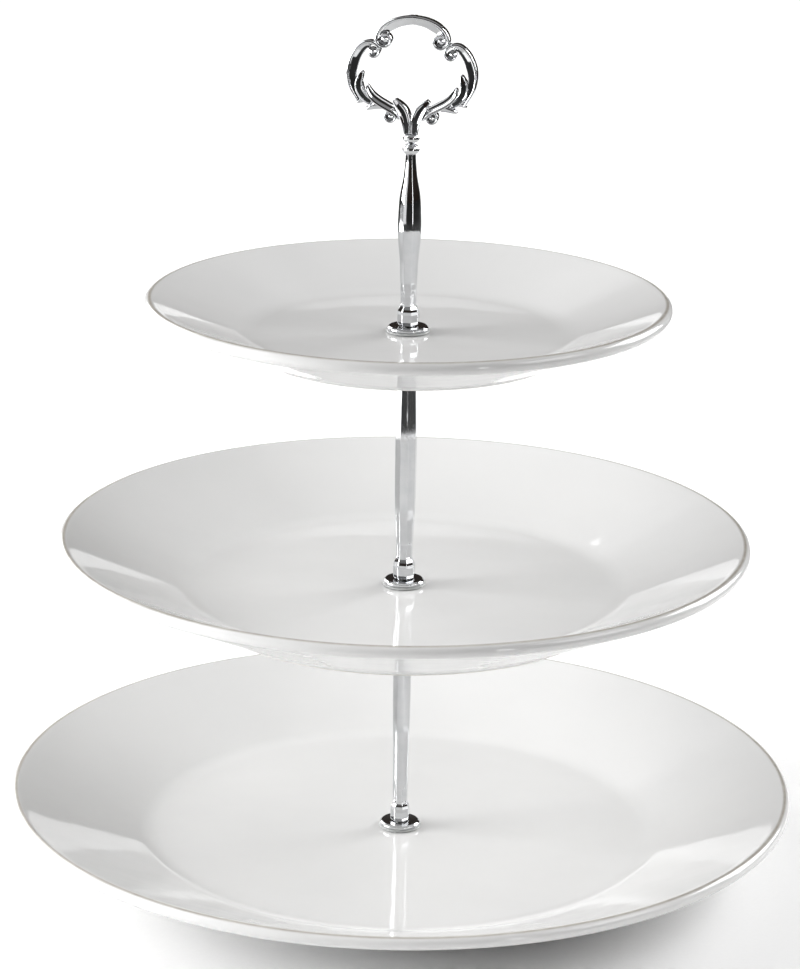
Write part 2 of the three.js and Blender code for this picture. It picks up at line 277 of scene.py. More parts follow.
def painted_rim_shade_share(r, z, rim, rise):
    """How much painted shade and dark reflection lies on a point of the lip: 1 along the crest, fading to 0 a
    little way down either side.
    """
    across, up = r - (rim - LIP_RADIUS), z - (rise - LIP_RADIUS)
    if abs(math.hypot(across, up) - LIP_RADIUS) > 0.02:
        return 0.0
    away = abs(math.degrees(math.atan2(up, across)) - PAINTED_RIM_SHADE_ANGLE) / PAINTED_RIM_SHADE_REACH
    return min(1.0, max(0.0, 1.5 * (1 - away)))


def make_plate(name, body, looks):
    node = f"{name}_plate"
    low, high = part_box(node)
    mounts = {m["name"]: m for m in frame["record"]["mounts"]}
    well_z = mounts[f"{name}_serving_face"]["pos_m"][2] / MM
    rim, top, bottom = high.x / MM, high.z / MM, low.z / MM
    size = PLATES[name]
    outline = plate_outline(rim, top - well_z, size)
    points, faces = turned([(r, z + well_z) for r, z in outline], PLATE_AROUND)
    angle = np.arctan2(points[:, 1], points[:, 0])
    radius = np.hypot(points[:, 0], points[:, 1])
    share = smooth_step((radius - size["well"]) / (rim - size["well"]))
    phase = len(name) * 1.7
    wave = np.sin(2 * angle + phase) + 0.6 * np.sin(3 * angle - 2 * phase) + 0.35 * np.sin(5 * angle + 1)
    points[:, 2] += RIM_WARP * share * (wave / 1.95 - 1)
    faces = [face[::-1] for face in faces]
    # painted shade and dark reflection along the lip's crest, kept on each point for the glaze to darken
    rim_shade = np.repeat([painted_rim_shade_share(r, z, rim, top - well_z) for r, z in outline], PLATE_AROUND)
    plate = make_piece(f"{name}_plate_glazed", points, faces, looks, body, [node], 50)
    plate.data.attributes.new("painted_rim_shade", "FLOAT", "POINT").data.foreach_set("value", rim_shade)
    middle = np.array([f.center.z / MM for f in plate.data.polygons])
    unglazed = (middle < bottom + GROUND_FOOT).astype(int)
    plate.data.polygons.foreach_set("material_index", unglazed)


# ---- Washers, gaskets and the base screw ----

def make_ring(name, node, body, look, shape, radius=0.18):
    """shape gives the outline from the bore's radius and the node's own outer, lower and upper limits."""
    low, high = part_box(node)
    outline = rounded(shape(BORE_RADIUS, high.x / MM, low.z / MM, high.z / MM), radius)
    points, faces = turned(outline, RING_AROUND)
    make_piece(name, points, faces, look, body, [node], 40)


def disc_shape(inner, outer, low, high):
    return [
        (inner, low), (outer, low), (outer, low + 0.75), (outer - 0.65, high - 0.04), (outer - 1.0, high),
        (outer - 3.2, high - 0.06), (inner, high - 0.06),
    ]


def gasket_shape(inner, outer, low, high):
    return [(inner, low), (outer - 0.1, low), (outer, (low + high) / 2), (outer - 0.1, high), (inner, high)]


def washer_shape(inner, outer, low, high):
    return [(inner, low + 0.12), (inner + 0.3, low), (outer, low), (outer, high), (inner, high)]


def cut(piece, cutter_points, cutter_faces):
    """Takes a box-like cutter out of a piece's mesh and leaves nothing of the cutter behind."""
    mesh = bpy.data.meshes.new("cutter")
    mesh.from_pydata([tuple(p) for p in np.asarray(cutter_points) * MM], [], cutter_faces)
    cutter = bpy.data.objects.new("cutter", mesh)
    bpy.context.scene.collection.objects.link(cutter)
    modifier = piece.modifiers.new("slot", "BOOLEAN")
    modifier.operation = "DIFFERENCE"
    modifier.solver = "EXACT"
    modifier.object = cutter
    evaluated = piece.evaluated_get(bpy.context.evaluated_depsgraph_get())
    result = bpy.data.meshes.new_from_object(evaluated)
    piece.modifiers.clear()
    piece.data = result
    bpy.data.objects.remove(cutter)


def thread_wave(z, angles):
    """A triangular thread with a flattened root and crest: 0 at the root and 1 at the crest."""
    turn = (z / THREAD_PITCH - angles / (2 * math.pi)) % 1
    return np.clip(1.5 * np.abs(2 * turn - 1) - 0.2, 0, 1)


def thread_rings(low, high, major, around):
    """Rings of an outside thread from low to high, running out to a chamfer at both ends."""
    angles = np.arange(around) * 2 * math.pi / around
    rings = []
    for z in np.linspace(low, high, int((high - low) / THREAD_PITCH * THREAD_RINGS) + 2):
        edge = min(z - low, high - z) / THREAD_RUNOUT
        limit = major - THREAD_CHAMFER * (1 - min(edge, 1))
        radius = major - THREAD_DEPTH * (1 - thread_wave(z, angles))
        rings.append(circle(np.minimum(radius, limit), z, around))
    return rings


def make_stud(name, node, body, look):
    low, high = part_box(node)
    points, faces = capped(thread_rings(low.z / MM, high.z / MM, THREAD_MAJOR, STUD_AROUND))
    make_piece(name, points, faces, look, body, [node], 30)


def make_base_screw(look):
    low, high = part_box("base_screw")
    bottom, tip, outer = low.z / MM, high.z / MM, high.x / MM
    profile = [
        (0.8, bottom), (2.2, bottom + 0.03), (3.6, bottom + 0.16), (4.8, bottom + 0.45),
        (5.6, bottom + 0.85), (5.9, bottom + 1.1), (outer, bottom + 1.3), (outer, bottom + 1.65),
        (outer - 0.12, bottom + 1.8), (2.4, bottom + 1.8), (2.05, bottom + 1.9), (2.0, bottom + 2.2),
    ]
    rings = [circle(r, z, SCREW_AROUND) for r, z in profile]
    # the thread's first rings are tapered, so the shank starts after them
    rings += thread_rings(bottom + 2.3, tip, THREAD_MAJOR, SCREW_AROUND)[3:]
    points, faces = capped(rings)
    screw = make_piece("base_screw_slotted", points, faces, look, "base", ["base_screw"], 30)
    wide, half, deep = outer + 2, 0.6, 0.9  # the screwdriver slot's half length, half width, depth
    corners = [(x, y, z) for z in (bottom - 1, bottom + deep) for x, y in
               ((-wide, -half), (wide, -half), (wide, half), (-wide, half))]
    sides = [(3, 2, 1, 0), (4, 5, 6, 7), (0, 1, 5, 4), (1, 2, 6, 5), (2, 3, 7, 6), (3, 0, 4, 7)]
    cut(screw, corners, sides)


# ---- Column: eight soft-edged facets, with sunk and arched ones above the collar ----

def facet_share(angles):
    """How far each direction is from the middle of its facet: 0 in the middle, 1 at a corner."""
    step = 2 * math.pi / FACETS
    off = (angles + math.pi / 2 + step / 2) % step - step / 2
    return np.abs(off) / (step / 2)


def facet_radius(angles):
    """Radius round an octagon of corner radius 1, with rounded corners."""
    half = math.pi / FACETS
    share = facet_share(angles)
    flat = math.cos(half) / np.cos(share * half)
    soft = CORNER_CUT - np.log1p(np.exp(-(flat - CORNER_CUT) * CORNER_SHARPNESS)) / CORNER_SHARPNESS
    return np.minimum(flat, CORNER_CUT) * 0.5 + soft * 0.5


def shape_width(shape, z):
    heights, widths = zip(*shape)
    return np.interp(z, heights, widths)


def rounded_shape(shape, length, end_width):
    """The list of (height, width), with its long stretches bent into smooth curves."""
    kept = [p for p in shape if p[0] < length - 1] + [(length, end_width)]
    heights = np.array([p[0] for p in kept])
    widths = np.array([p[1] for p in kept])
    slopes = np.gradient(widths, heights)
    fine = []
    for i in range(len(kept) - 1):
        h = heights[i + 1] - heights[i]
        steps = max(2, int(h / SHAPE_STEP))
        for s in range(steps):
            t = s / steps
            straight = widths[i] + (widths[i + 1] - widths[i]) * t
            if h > LONG_STRETCH and heights[i] > COLLAR_TOP:
                a, b = slopes[i] * h, slopes[i + 1] * h
                if heights[i] < SHAFT_START:
                    a = widths[i + 1] - widths[i]
                curve = ((2 * t ** 3 - 3 * t ** 2 + 1) * widths[i] + (t ** 3 - 2 * t ** 2 + t) * a
                         + (3 * t ** 2 - 2 * t ** 3) * widths[i + 1] + (t ** 3 - t ** 2) * b)
                fine.append((heights[i] + h * t, curve))
            else:
                fine.append((heights[i] + h * t, straight))
    return fine + [(length, end_width)]


def column_rings(shape, base, length, bulge, pockets):
    """Outer rings of a rod. Between the heights in pockets, every second facet is sunk, with an
    arched top to the sunk part."""
    around = FACETS * AROUND_FACET
    angles = np.arange(around) * 2 * math.pi / around
    share = facet_share(angles)
    section = facet_radius(angles)
    scoop = 1 - share ** 2
    low, high = pockets
    second = np.floor((angles + math.pi / 2) * FACETS / (2 * math.pi) + 0.5) % 2
    arch = high - 1.7 * share ** 2
    heights = {round(z, 3) for z, _ in shape}
    heights |= {round(z, 3) for z in np.linspace(0, length, COLUMN_STEPS)}
    heights |= {round(z, 3) for z in np.arange(0.2, high + 1, 0.14)}
    rings = []
    for z in sorted(heights):
        width = shape_width(shape, z)
        grown = smooth_step((z - high) / 3) * smooth_step((length - z) / 6)
        sunk = second * smooth_step((arch - z) / 0.4) * smooth_step((z - low) / 0.5)
        sunk = sunk * smooth_step((0.92 - share) / 0.22) * POCKET_DEPTH
        radius = width / 2 * (section + bulge * grown * scoop) - sunk
        rings.append(circle(radius, base + z, around))
    return rings


def bore_rings(open_z, end_z, around):
    """Rings of a threaded blind hole, from its open end inwards."""
    angles = np.arange(around) * 2 * math.pi / around
    way = 1 if end_z > open_z else -1
    rings = [circle(BORE_RADIUS + 0.25, open_z, around)]
    deep = abs(end_z - open_z)
    for s in np.linspace(0.25, deep - 0.4, int(deep / THREAD_PITCH * BORE_RINGS)):
        z = open_z + way * s
        room = BORE_RADIUS - THREAD_MAJOR - THREAD_CLEARANCE
        radius = THREAD_MAJOR + THREAD_CLEARANCE + room * (1 - thread_wave(z, angles))
        rings.append(circle(radius, z, around))
    rings.append(circle(BORE_RADIUS - 0.3, open_z + way * (deep - 0.3), around))
    rings.append(circle(BORE_TIP, end_z, around))
    return rings


def make_rod(name, node, body, shape, socket, bulge, pockets, look):
    low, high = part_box(node)
    base, length = low.z / MM, (high.z - low.z) / MM
    fine = rounded_shape(shape, length, ROD_END_WIDTH)
    around = FACETS * AROUND_FACET
    rings = bore_rings(base, base + socket, around)[::-1]
    rings += column_rings(fine, base, length, bulge, pockets)
    rings += bore_rings(high.z / MM, high.z / MM - ROD_TOP_HOLE, around)
    points, faces = capped(rings)
    make_piece(name, points, faces, look, body, [node], 38)


# ---- Crown handle ----

RING_BASE = 72.5  # from the handle's foot up to the base of the ring
HALF_DEPTH = 2.2


def spline(points, steps):
    """Smooth curve through points, each stretch split into the same number of steps."""
    p = np.asarray(points, float)
    p = np.vstack([2 * p[0] - p[1], p, 2 * p[-1] - p[-2]])
    result = []
    for i in range(1, len(p) - 2):
        a, b, c, d = p[i - 1:i + 3]
        for t in np.arange(steps) / steps:
            result.append(0.5 * (2 * b + (c - a) * t + (2 * a - 5 * b + 4 * c - d) * t ** 2
                                 + (3 * b - a - 3 * c + d) * t ** 3))
    return np.array(result + [p[-2]])


def stroke(points, profile, steps=10, across=14, round_ends=(0.5, 0.5)):
    """A solid along a curve in the ring's plane. points are (x, z, width, half depth), and profile
    turns the share of the way across, from the right edge 0 to the left edge 1, into a share of the
    half depth. Both ends are rounded off over the given lengths."""
    line = spline(points, steps)
    tangent = np.gradient(line[:, :2], axis=0)
    tangent /= np.linalg.norm(tangent, axis=1)[:, None]
    left = np.stack([-tangent[:, 1], tangent[:, 0]], 1)
    gaps = np.linalg.norm(np.diff(line[:, :2], axis=0), axis=1)
    along = np.concatenate([[0], np.cumsum(gaps)])
    taper = np.ones(len(line))
    for distance, reach in ((along, round_ends[0]), (along[-1] - along, round_ends[1])):
        if reach:
            share = np.clip(distance / reach, 0, 1)
            taper *= np.sqrt(np.clip(1 - (1 - share) ** 2, 0.01, 1))
    u = np.linspace(0, 1, across)
    u = 0.5 - 0.5 * np.cos(u * math.pi)
    rings = []
    for i in range(len(line)):
        x, z, width, deep = line[i]
        offset = (u - 0.5) * width * taper[i]
        half = profile(u) * deep * (0.35 + 0.65 * taper[i])
        px = x + left[i, 0] * offset
        pz = z + left[i, 1] * offset
        front = np.stack([px, -half, pz], 1)
        back = np.stack([px, half, pz], 1)[::-1]
        rings.append(np.vstack([front, back]))
    return capped(rings)


def bead_profile(u):
    """A round bar: full depth, with a half-round front and back."""
    return 0.74 + 0.26 * np.sqrt(np.clip(1 - (2 * u - 1) ** 2, 0, 1))


def edge_fall(u, width=0.12, drop=0.28):
    """1 across the middle, falling away in a quarter circle at both edges."""
    near = np.clip(np.minimum(u, 1 - u) / width, 0, 1)
    return 1 - drop * (1 - np.sqrt(np.clip(1 - (1 - near) ** 2, 0, 1)))


def leaf_profile(u):
    """A leaf with a flat sunk face between two raised, rounded edges."""
    sunk = smooth_step((u - 0.12) / 0.16) * smooth_step((0.88 - u) / 0.16)
    return edge_fall(u, 0.12, 0.26) - 0.34 * sunk


def half_leaf_profile(u):
    """A leaf whose hollow lies towards its right edge, with one broad raised edge on the left."""
    hollow = smooth_step((0.74 - u) / 0.34) * smooth_step((u + 0.16) / 0.3)
    return edge_fall(u, 0.12, 0.26) - 0.4 * hollow


def face_profile(u):
    """The sunk face inside a lobe's bead: highest beside the bead at the left, lower to the right."""
    return (0.46 + 0.06 * u) * edge_fall(u, 0.1, 0.3)


def slanted_profile(u):
    """A steeper face, under the top arc and at the lobe's upper end, that looks down as well as out."""
    return (0.16 + 0.64 * u) * edge_fall(u, 0.08, 0.2)


def barb_profile(u):
    """A pointed barb with a ridge along its middle."""
    return 0.45 + 0.55 * (1 - np.abs(2 * u - 1)) ** 0.8


def spiral(centre, start, end, radius_start, radius_end, width, deep, count):
    """Points of a spiral, by angle in degrees round its centre."""
    points = []
    for t in np.linspace(0, 1, count):
        angle = math.radians(start + (end - start) * t)
        radius = radius_start + (radius_end - radius_start) * t
        points.append((centre[0] + radius * math.cos(angle), centre[1] + radius * math.sin(angle),
                       width[0] + (width[1] - width[0]) * t, deep))
    return points


def eye(centre, radius, web, tip):
    """The inside of a scroll: a low cone standing on each face."""
    around = 40
    angles = np.arange(around) * 2 * math.pi / around
    profile = [(0.05, tip), (0.12, tip - 0.05)] + [(t, tip - (tip - web) * t) for t in (0.3, 0.5, 0.75, 1)]
    rings = [(share * radius, -y) for share, y in profile]
    rings += [(share * radius, y) for share, y in profile[::-1]]
    made = [np.stack([centre[0] + r * np.cos(angles), np.full(around, y),
                      centre[1] + r * np.sin(angles)], 1) for r, y in rings]
    return capped(made)


def ring_solids():
    """The right-hand half of the ring's solids, as (points, faces) in the ring's own plane."""
    solids = []
    deep = HALF_DEPTH
    # the top arc's bead, from the crown down into its scroll
    scroll = (10.2, 33.6)
    arc = [(-1.5, 41.93, 1.15, deep), (0, 41.98, 1.15, deep), (4.9, 41.3, 1.15, deep), (9.1, 39.6, 1.2, deep),
           (12.1, 36.9, 1.2, deep)]
    arc += spiral(scroll, 8, -330, 3.1, 1.75, (1.2, 0.75), deep, 15)
    solids.append(stroke(arc, bead_profile, 8, 14, (0, 0.4)))
    # the slanted face inside the top arc
    face = [(-1.5, 40.44, 2.6, deep), (0, 40.5, 2.6, deep), (4.6, 39.7, 2.8, deep), (8.1, 37.9, 2.7, deep),
            (10.6, 35.9, 2.0, deep), (11.6, 34.4, 1.4, deep)]
    solids.append(stroke(face, slanted_profile, 8, 14, (0, 0.6)))
    solids.append(eye(scroll, 2.1, 0.75, 1.75))
    # the side lobe's bead, out of its scroll and round to the outer barb
    small = (14.6, 28.8)
    low_deep = deep - 0.08
    lobe = spiral(small, 340, 118, 1.35, 2.95, (0.65, 1.1), low_deep, 9)
    lobe += [(15.4, 32.5, 1.15, low_deep), (18.1, 31.9, 1.2, low_deep), (20.7, 29.5, 1.2, low_deep),
             (22.5, 26.2, 1.2, low_deep), (23.5, 22.6, 1.2, low_deep), (23.55, 19.2, 1.2, low_deep),
             (22.8, 16.0, 1.15, low_deep), (21.4, 13.4, 1.1, low_deep), (20.1, 11.4, 1.0, deep - 0.3),
             (19.1, 9.9, 0.9, deep - 0.6)]
    solids.append(stroke(lobe, bead_profile, 7, 14, (0.4, 0.5)))
    # the sunk face inside the lobe, and the steeper face at its upper end
    inner = [(15.2, 31.2, 1.6, deep), (17.6, 30.5, 2.5, deep), (19.9, 27.6, 3.0, deep),
             (21.2, 24.4, 3.1, deep), (21.9, 20.6, 2.8, deep), (21.4, 17.0, 2.5, deep),
             (20.2, 14.0, 1.9, deep), (19.2, 11.8, 1.2, deep)]
    solids.append(stroke(inner, face_profile, 8, 12, (0.7, 0.6)))
    solids.append(stroke(inner[:3] + [(20.5, 26.2, 2.9, deep)], slanted_profile, 8, 14, (0.7, 0.8)))
    solids.append(eye(small, 1.8, 0.7, 1.6))
    # a joint between the arc's scroll and the lobe
    solids.append(stroke([(11.9, 32.4, 1.4, 1.5), (13.6, 32.2, 1.6, 1.6), (15.2, 32.0, 1.4, 1.5)],
                         bead_profile, 6, 10, (0.5, 0.5)))
    # inner leaf
    solids.append(stroke([(18.2, 21.7, 0.9, 1.5), (18.8, 19.6, 2.2, 1.95), (19.4, 17.2, 2.9, 2.15),
                          (19.0, 14.4, 3.2, 2.15), (17.0, 11.8, 3.0, 2.05), (14.2, 10.0, 2.5, 1.8)],
                         leaf_profile, 9, 18, (0.7, 1.2)))
    # long leaf and stem, running in to the column
    solids.append(stroke([(16.4, 16.9, 0.9, 1.6), (16.0, 15.1, 2.1, 2.0), (14.7, 12.9, 2.9, 2.2),
                          (12.1, 10.8, 3.2, 2.25), (9.0, 9.1, 3.2, 2.2), (5.8, 7.2, 3.0, 2.1),
                          (3.6, 4.6, 2.4, 1.9)], half_leaf_profile, 9, 18, (0.7, 1.0)))
    # outer barbs
    solids.append(stroke([(20.4, 9.7, 1.1, 1.2), (19.2, 10.7, 2.0, 1.7), (17.4, 11.4, 2.6, 1.9)],
                         barb_profile, 8, 12, (0.5, 0.6)))
    solids.append(stroke([(17.0, 7.6, 1.1, 1.2), (15.0, 8.5, 2.2, 1.7), (12.4, 9.3, 2.9, 1.9),
                          (10.2, 9.1, 2.6, 1.8)], barb_profile, 8, 12, (0.5, 0.8)))
    # low scroll under the stem
    low = (7.5, 5.3)
    curl = spiral(low, 95, -225, 2.45, 1.5, (1.05, 0.7), 1.95, 13)
    solids.append(stroke([(6.0, 8.5, 1.05, 1.9)] + curl, bead_profile, 7, 14, (0.4, 0.4)))
    solids.append(eye(low, 1.8, 0.7, 1.5))
    # central leaf, which meets its twin in the middle
    solids.append(stroke([(6.5, 11.7, 1.5, 1.7), (5.0, 10.0, 3.0, 2.2), (3.3, 7.8, 4.1, 2.4),
                          (2.2, 5.4, 4.1, 2.45), (1.6, 2.6, 3.3, 2.4), (1.3, -0.9, 2.6, 2.2)],
                         leaf_profile, 9, 20, (0.6, 0.2)))
    return solids


def bead_rings(centre, radius, half, around, base):
    rings = []
    for angle in np.linspace(-80, 80, 15):
        a = math.radians(angle)
        rings.append(circle(radius * math.cos(a) ** 0.9, base + centre + half * math.sin(a), around))
    return rings


def make_handle(look):
    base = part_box("crown_handle")[0].z / MM
    around = FACETS * AROUND_FACET
    pole_length, pole_width = HANDLE[-1]
    fine = rounded_shape(HANDLE, pole_length, pole_width)
    rings = bore_rings(base, base + HANDLE_SOCKET, around)[::-1]
    rings += column_rings(fine, base, pole_length, BULGE, HANDLE_POCKETS)[:-POLE_RINGS_UNDER_BEADS]
    for centre, radius, half in HANDLE_BEADS:
        rings += bead_rings(centre, radius, half, around, base)
    top_radius, top_height = POLE_TOP
    rings.append(circle(top_radius, base + top_height, around))
    solids = [capped(rings)]
    for points, faces in ring_solids():
        raised = points + np.array([0, 0, base + RING_BASE])
        solids += [(raised, faces), (raised * np.array([-1, 1, 1]), faces)]
    verts, polys, count = [], [], 0
    for points, faces in solids:
        verts.append(points)
        polys += [tuple(k + count for k in face) for face in outward(points, faces)]
        count += len(points)
    verts = np.vstack(verts)
    make_piece("crown_handle_cast", verts, polys, look, "handle", ["crown_handle"], 40)


# ---- Materials ----

def new_material(name):
    material = bpy.data.materials.new(name)
    material.use_nodes = True
    nodes, links = material.node_tree.nodes, material.node_tree.links
    return material, nodes, links, nodes["Principled BSDF"]


def noise_node(nodes, links, scale, detail=3, rough=0.5):
    coordinates = nodes.get("Texture Coordinate") or nodes.new("ShaderNodeTexCoord")
    noise = nodes.new("ShaderNodeTexNoise")
    noise.inputs["Scale"].default_value = scale
    noise.inputs["Detail"].default_value = detail
    noise.inputs["Roughness"].default_value = rough
    links.new(coordinates.outputs["Object"], noise.inputs["Vector"])
    return noise.outputs["Fac"]


def ramp_node(nodes, links, source, stops):
    ramp = nodes.new("ShaderNodeValToRGB")
    while len(ramp.color_ramp.elements) < len(stops):
        ramp.color_ramp.elements.new(0.5)
    for element, (position, value) in zip(ramp.color_ramp.elements, stops):
        element.position = position
        colour = value if isinstance(value, (tuple, list)) else (value,) * 3
        element.color = (*colour, 1)
    links.new(source, ramp.inputs["Fac"])
    return ramp.outputs["Color"]


def bump_chain(nodes, links, shader, layers):
    """layers lists (height output, depth in metres)."""
    normal = None
    for height, depth in layers:
        bump = nodes.new("ShaderNodeBump")
        bump.inputs["Strength"].default_value = 1
        bump.inputs["Distance"].default_value = depth
        links.new(height, bump.inputs["Height"])
        if normal is not None:
            links.new(normal, bump.inputs["Normal"])
        normal = bump.outputs["Normal"]
    links.new(normal, shader.inputs["Normal"])


def porcelain_material():
    """White glaze: slightly uneven thickness and soft waves, with a painted line of shade and dark reflection
    along the rim's crest.
    """
    material, nodes, links, shader = new_material("porcelain_glaze")
    cloud = noise_node(nodes, links, 14, 4)
    colour = ramp_node(nodes, links, cloud, [(0.3, (0.685, 0.685, 0.682)), (0.7, (0.715, 0.714, 0.709))])
    # the dark colour painted along the rim's crest as shade and dark reflection
    body = ramp_node(nodes, links, noise_node(nodes, links, 220, 3), [
        (0.3, (0.36, 0.335, 0.30)), (0.7, (0.44, 0.42, 0.385))])
    rim_shade = nodes.new("ShaderNodeAttribute")
    rim_shade.attribute_name = "painted_rim_shade"
    blend = nodes.new("ShaderNodeMix")
    blend.data_type = "RGBA"
    share, first, second = (i for i in blend.inputs if i.enabled)
    links.new(rim_shade.outputs["Fac"], share)
    links.new(colour, first)
    links.new(body, second)
    links.new(next(o for o in blend.outputs if o.enabled), shader.inputs["Base Color"])
    shader.inputs["IOR"].default_value = 1.52
    gloss = ramp_node(nodes, links, noise_node(nodes, links, 60, 5), [(0.35, 0.035), (0.75, 0.085)])
    links.new(gloss, shader.inputs["Roughness"])
    waves = noise_node(nodes, links, 38, 2, 0.4)
    peel = noise_node(nodes, links, 420, 2)
    bump_chain(nodes, links, shader, [(waves, 0.00022), (peel, 0.000006)])
    return material


def bisque_material():
    """The unglazed ground ring under a plate."""
    material, nodes, links, shader = new_material("porcelain_bisque")
    grain = noise_node(nodes, links, 1800, 4, 0.7)
    colour = ramp_node(nodes, links, grain, [(0.3, (0.62, 0.6, 0.56)), (0.7, (0.72, 0.7, 0.66))])
    links.new(colour, shader.inputs["Base Color"])
    shader.inputs["Roughness"].default_value = 0.75
    bump_chain(nodes, links, shader, [(grain, 0.00006)])
    return material


def chrome_material(name="chrome_plate", wave_scale=90, wave_depth=0.00003):
    """Bright plating over a polished casting: faint waves, fine haze and a little dulling."""
    material, nodes, links, shader = new_material(name)
    haze = noise_node(nodes, links, 260, 4)
    colour = ramp_node(nodes, links, haze, [(0.3, (0.63, 0.64, 0.655)), (0.7, (0.69, 0.695, 0.705))])
    links.new(colour, shader.inputs["Base Color"])
    shader.inputs["Metallic"].default_value = 1
    gloss = ramp_node(nodes, links, noise_node(nodes, links, 700, 5, 0.6), [(0.35, 0.035), (0.8, 0.11)])
    links.new(gloss, shader.inputs["Roughness"])
    waves = noise_node(nodes, links, wave_scale, 2)
    bump_chain(nodes, links, shader, [(waves, wave_depth)])
    return material


def steel_material():
    """Zinc-plated turned steel: fine rings round the axis."""
    material, nodes, links, shader = new_material("zinc_steel")
    coordinates = nodes.new("ShaderNodeTexCoord")
    wave = nodes.new("ShaderNodeTexWave")
    wave.wave_type = "RINGS"
    wave.rings_direction = "Z"
    wave.inputs["Scale"].default_value = 900
    wave.inputs["Distortion"].default_value = 1.2
    wave.inputs["Detail"].default_value = 2
    links.new(coordinates.outputs["Object"], wave.inputs["Vector"])
    cloud = noise_node(nodes, links, 180, 4)
    colour = ramp_node(nodes, links, cloud, [(0.3, (0.5, 0.51, 0.52)), (0.7, (0.66, 0.66, 0.64))])
    links.new(colour, shader.inputs["Base Color"])
    shader.inputs["Metallic"].default_value = 1
    gloss = ramp_node(nodes, links, cloud, [(0.3, 0.28), (0.7, 0.42)])
    links.new(gloss, shader.inputs["Roughness"])
    bump_chain(nodes, links, shader, [(wave.outputs["Fac"], 0.000012)])
    return material


def gasket_material():
    """Milky soft plastic."""
    material, nodes, links, shader = new_material("milky_plastic")
    cloud = noise_node(nodes, links, 300, 3)
    colour = ramp_node(nodes, links, cloud, [(0.3, (0.80, 0.815, 0.81)), (0.7, (0.88, 0.89, 0.885))])
    links.new(colour, shader.inputs["Base Color"])
    shader.inputs["Roughness"].default_value = 0.3
    shader.inputs["Transmission Weight"].default_value = 0.45
    shader.inputs["IOR"].default_value = 1.42
    bump_chain(nodes, links, shader, [(noise_node(nodes, links, 900, 2), 0.00001)])
    return material


def paper_material(name, shade):
    """Matt paper or paint, with a fine grain."""
    material, nodes, links, shader = new_material(name)
    fibre = noise_node(nodes, links, 700, 3)
    colour = ramp_node(nodes, links, fibre, [(0.3, shade * 0.98), (0.7, shade)])
    links.new(colour, shader.inputs["Base Color"])
    shader.inputs["Roughness"].default_value = 0.8
    shader.inputs["Specular IOR Level"].default_value = 0.1
    return material


# ---- Studio, in metres. The sheets lie a little apart in height, with the sweep on top ----

SWEEP_FRONT = -0.42
SWEEP_BACK = 3.3
SWEEP_CURVE = 0.6
SWEEP_TOP = 0.62
SWEEP_DRIFT = 0.167  # how far the sheet leans left for each metre it runs back
SWEEP_SPREAD = 0.165  # how far each edge moves out for each metre it runs back
SWEEP_HALF = 0.26  # half the sheet's width beside the stand
SWEEP_Z = 0.0003  # how far the sweep lies below the stand's foot
STUDIO_FLOOR_REACH = 4.5
STUDIO_FLOOR_Z = -0.004
ROUND_PAPER_RADIUS = 0.6
ROUND_PAPER_SIDES = 96
ROUND_PAPER_Z = -0.003
BOARD_ACROSS = (-1.9, -0.2)
BOARD_DEEP = (-0.75, 0.32)
BOARD_Z = -0.002
ROOM_STRENGTH = 0.75

# name, place, target, (width, height), watts
STAND_MIDDLE = (0, 0, 0.12)
LIGHTS = [
    ("left_softbox", (-1.3, -0.3, 0.45), STAND_MIDDLE, (0.9, 0.7), 25),
    ("left_high_softbox", (-1.1, -0.2, 1.25), STAND_MIDDLE, (0.9, 0.9), 7),
    ("right_high_softbox", (1.2, -0.25, 1.05), STAND_MIDDLE, (0.8, 0.7), 7),
    ("right_back_softbox", (1.1, 1.0, 0.8), STAND_MIDDLE, (0.9, 0.9), 21),
    ("left_back_softbox", (-1.1, 1.0, 0.8), STAND_MIDDLE, (0.9, 0.9), 7),
    ("front_left_card", (-0.9, -1.07, 0.24), (0, 0, 0.24), (1.2, 0.9), 3.4),
    ("front_right_strip", (0.95, -1.1, 0.3), (0, 0, 0.28), (0.12, 0.9), 2),
    ("backdrop_light", (0, 1.55, 1.3), (0, 3.6, 0), (2.4, 0.8), 32),
]


def flat_sheet(name, points, faces, look):
    mesh = bpy.data.meshes.new(name)
    mesh.from_pydata(points, [], faces)
    mesh.polygons.foreach_set("use_smooth", [True] * len(faces))
    mesh.materials.append(look)
    sheet = bpy.data.objects.new(name, mesh)
    bpy.context.scene.collection.objects.link(sheet)


def make_sweep(look):
    """A seamless sheet: a floor that widens away from the camera and curves up behind the stand."""
    bend_start = SWEEP_BACK - SWEEP_CURVE
    line = [(SWEEP_FRONT, 0), (0, 0), (bend_start, 0)]
    for angle in np.linspace(-80, 0, 12):
        a = math.radians(angle)
        line.append((bend_start + SWEEP_CURVE * math.cos(a), SWEEP_CURVE + SWEEP_CURVE * math.sin(a)))
    line.append((SWEEP_BACK, SWEEP_TOP))
    points = []
    for y, z in line:
        half = SWEEP_HALF + SWEEP_SPREAD * max(y, 0)
        for side in (-1, 1):
            points.append((side * half - SWEEP_DRIFT * y, y, z - SWEEP_Z))
    faces = [(2 * i, 2 * i + 1, 2 * i + 3, 2 * i + 2) for i in range(len(line) - 1)]
    flat_sheet("paper_sweep", points, faces, look)


def flat_rectangle(name, across, deep, z, look):
    flat_sheet(name, [(x, y, z) for y in deep for x in across], [(0, 1, 3, 2)], look)


def make_floor(look, board_look):
    """The studio's own floor, a round paper under the stand and a white board to its left."""
    reach = (-STUDIO_FLOOR_REACH, STUDIO_FLOOR_REACH)
    flat_rectangle("studio_floor", reach, reach, STUDIO_FLOOR_Z, look)
    edge = circle(ROUND_PAPER_RADIUS, ROUND_PAPER_Z, ROUND_PAPER_SIDES)
    flat_sheet("round_paper", [tuple(p) for p in edge], [tuple(range(ROUND_PAPER_SIDES))], board_look)
    flat_rectangle("white_board", BOARD_ACROSS, BOARD_DEEP, BOARD_Z, board_look)


